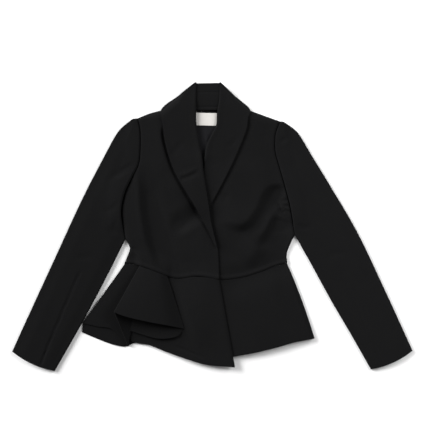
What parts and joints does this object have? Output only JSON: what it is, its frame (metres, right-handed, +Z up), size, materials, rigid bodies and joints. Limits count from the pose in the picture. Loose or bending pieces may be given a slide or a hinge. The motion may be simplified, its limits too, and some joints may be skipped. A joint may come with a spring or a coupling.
{
  "type": "peplum blazer laid flat",
  "caption": "Fitted blazer with a shawl collar, long set-in sleeves and a flared peplum folded into a flute at one front, laid flat on its back with the front up",
  "frame": {"origin": "on the surface the blazer lies on, at the middle of its length and width", "axes": "+Z up from the surface, +Y towards the collar, +X towards the right sleeve as seen from above"},
  "size_m": [0.94, 0.677, 0.0274],
  "materials": {
    "wool_crepe": "matte",
    "lining_satin": "satin",
    "label_tape": "satin"
  },
  "bodies": {
    "root": {"back_bodice_l": "wool_crepe", "back_bodice_r": "wool_crepe", "peplum_back": "wool_crepe", "front_l": "wool_crepe", "front_r": "wool_crepe", "peplum_front_l": "wool_crepe", "peplum_front_r": "wool_crepe", "sleeve_l_top": "wool_crepe", "sleeve_l_under": "wool_crepe", "sleeve_r_top": "wool_crepe", "sleeve_r_under": "wool_crepe", "lapel_l": "wool_crepe", "lapel_r": "wool_crepe", "collar_stand": "wool_crepe", "collar_fall": "wool_crepe", "back_lining": "lining_satin", "label": "label_tape"}
  },
  "joints": []
}
